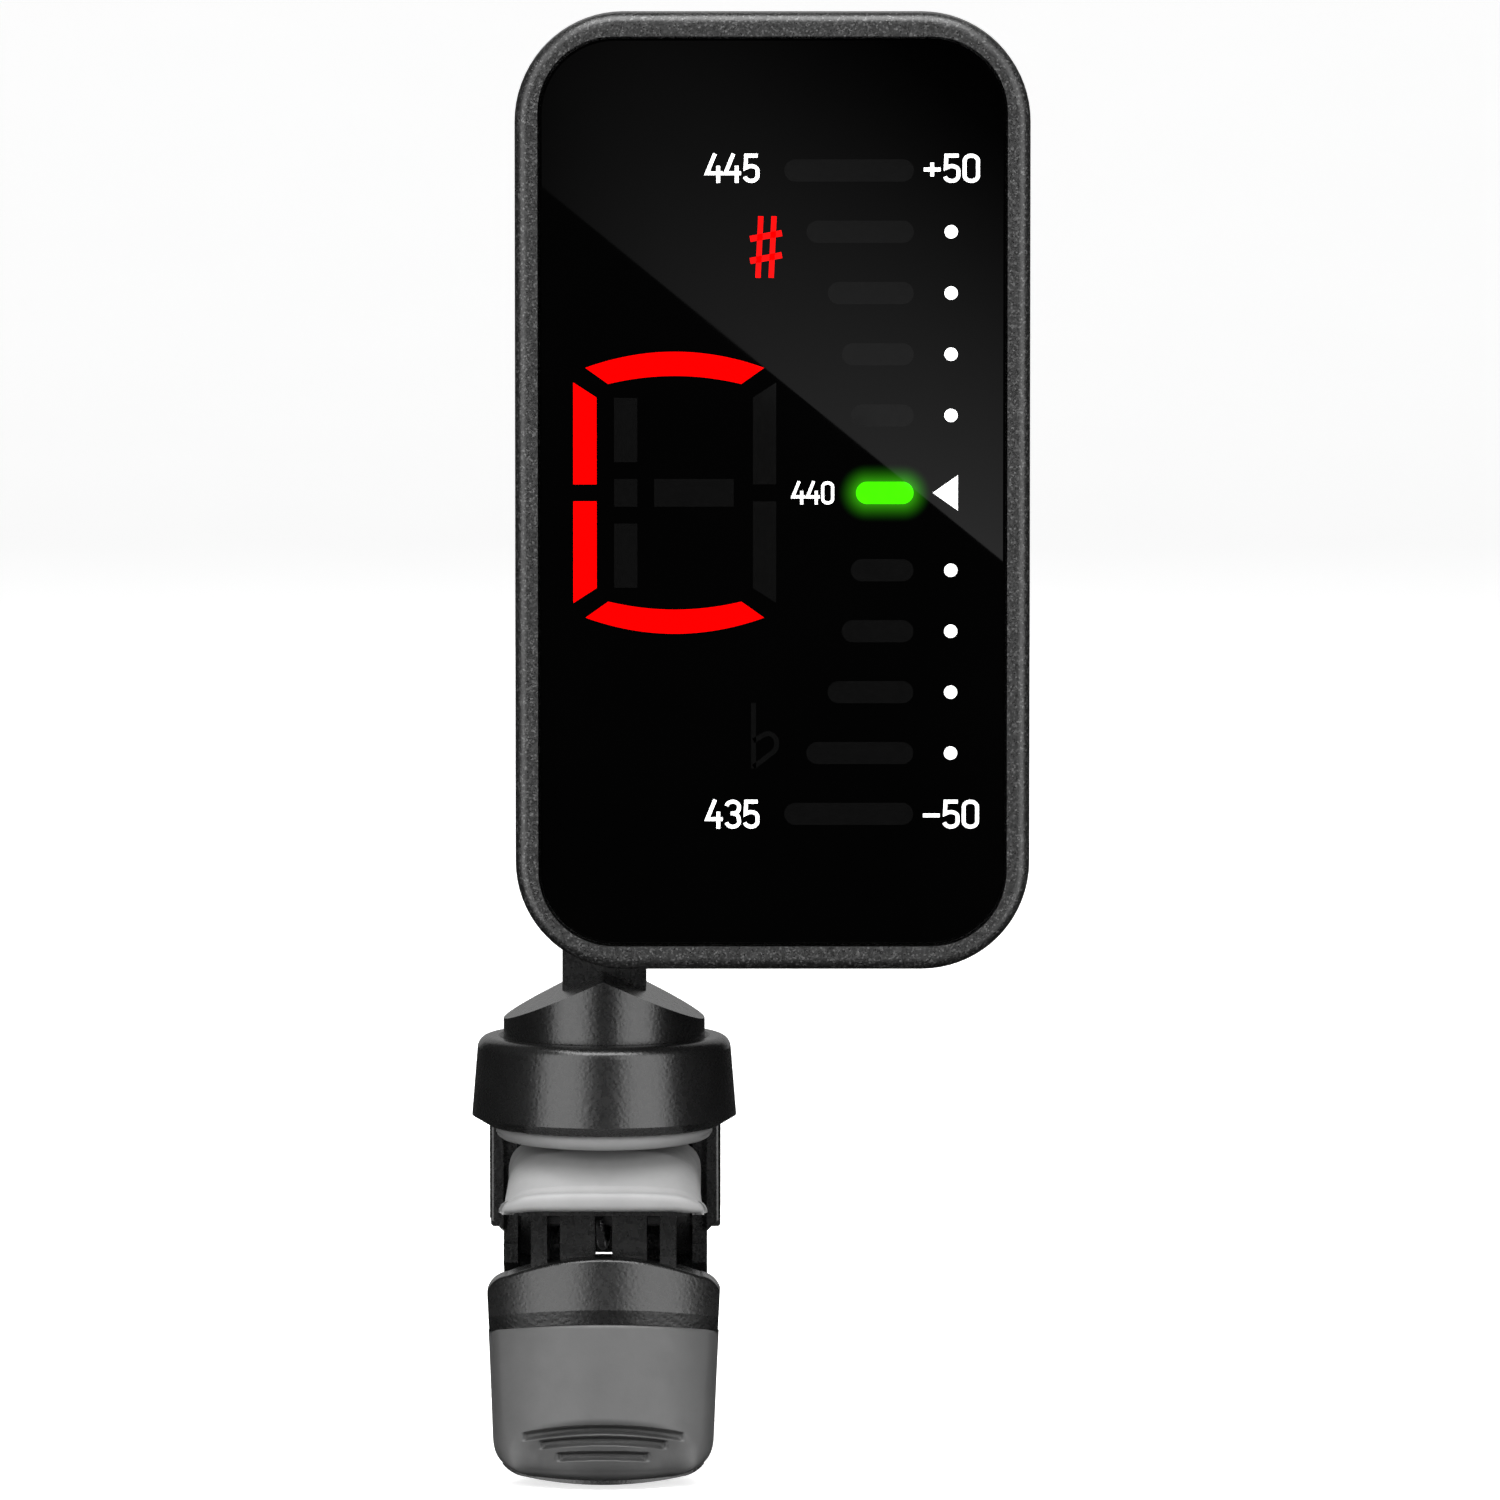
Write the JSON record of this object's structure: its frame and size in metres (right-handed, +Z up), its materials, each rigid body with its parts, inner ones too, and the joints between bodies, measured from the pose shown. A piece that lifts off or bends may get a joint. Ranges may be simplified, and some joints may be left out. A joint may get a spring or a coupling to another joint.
{
  "type": "clip-on instrument tuner",
  "caption": "Clip-on instrument tuner: tall segment display on a tilting, swivelling arm above a sprung two-jaw clip with rubber pads.",
  "frame": {"origin": "where the swivel axis meets the plane in which the two jaw pads close", "axes": "+Z up the swivel axis, +X to the right of the display, display and jaw mouth facing -Y"},
  "size_m": [0.0385, 0.0288, 0.1012],
  "materials": {
    "bezel_graphite": "fine sparkle texture",
    "window_black": "polished",
    "black_plastic": "satin moulded texture",
    "pad_rubber": "matt",
    "grip_rubber": "matt",
    "steel": "zinc plated",
    "contact_metal": "nickel plated",
    "cell_can": "satin",
    "board_green": "solder mask",
    "chip_black": "matt",
    "piezo_brass": "satin",
    "guide_black": "matt",
    "diffuser": "smoked",
    "led_resin": "clear",
    "holder_resin": "natural",
    "button_plastic": "satin"
  },
  "bodies": {
    "fixed_jaw": {"jaw_frame": "black_plastic", "upper_pad": "pad_rubber", "pivot_pin": "steel", "torsion_spring": "steel"},
    "swivel": {"swivel_arm": "black_plastic", "swivel_screw": "steel", "swivel_washer": "steel"},
    "head": {"front_bezel": "bezel_graphite", "display_window": "window_black", "light_guide": "guide_black", "note_segments": "diffuser", "tuning_bars": "diffuser", "accidental_signs": "diffuser", "circuit_board": "board_green", "display_leds": "led_resin", "tuner_chip": "chip_black", "piezo_pickup": "piezo_brass", "button_switches": "contact_metal", "battery_holder": "holder_resin", "coin_cell": "cell_can", "positive_contact": "contact_metal", "negative_contact": "contact_metal", "rear_cover": "black_plastic", "case_screws": "steel", "tilt_screw": "steel", "tilt_nut": "steel", "tilt_washers": "steel"},
    "battery_cap": {"battery_cap": "black_plastic"},
    "power_button": {"power_button": "button_plastic"},
    "pitch_button": {"pitch_button": "button_plastic"},
    "lever": {"jaw_lever": "black_plastic", "lower_pad": "pad_rubber", "lever_grip": "grip_rubber"}
  },
  "joints": [
    {"name": "arm_swivel", "type": "hinge", "parent": "fixed_jaw", "child": "swivel", "pos_m": [0, 0, 0.0073], "axis": [0, 0, 1], "continuous": true},
    {"name": "head_tilt", "type": "hinge", "parent": "swivel", "child": "head", "pos_m": [0, 0.0026, 0.027], "axis": [-1, 0, 0], "range_deg": [-3, 90]},
    {"name": "jaw_open", "type": "hinge", "parent": "fixed_jaw", "child": "lever", "pos_m": [0, 0.009, -0.006], "axis": [1, 0, 0], "range_deg": [0, 45], "stiffness_Nm_per_rad": 0.1, "springref_deg": -57.3, "deforming": ["torsion_spring"]},
    {"name": "power_press", "type": "slide", "parent": "head", "child": "power_button", "axis": [0, -1, 0], "range_m": [0, 0.0005], "stiffness_N_per_m": 2000},
    {"name": "pitch_press", "type": "slide", "parent": "head", "child": "pitch_button", "axis": [0, -1, 0], "range_m": [0, 0.0005], "stiffness_N_per_m": 2000},
    {"name": "cap_turn", "type": "hinge", "parent": "head", "child": "battery_cap", "pos_m": [0.01166, -0.0006, 0.04703], "axis": [0, 1, 0], "range_deg": [0, 45]}
  ]
}
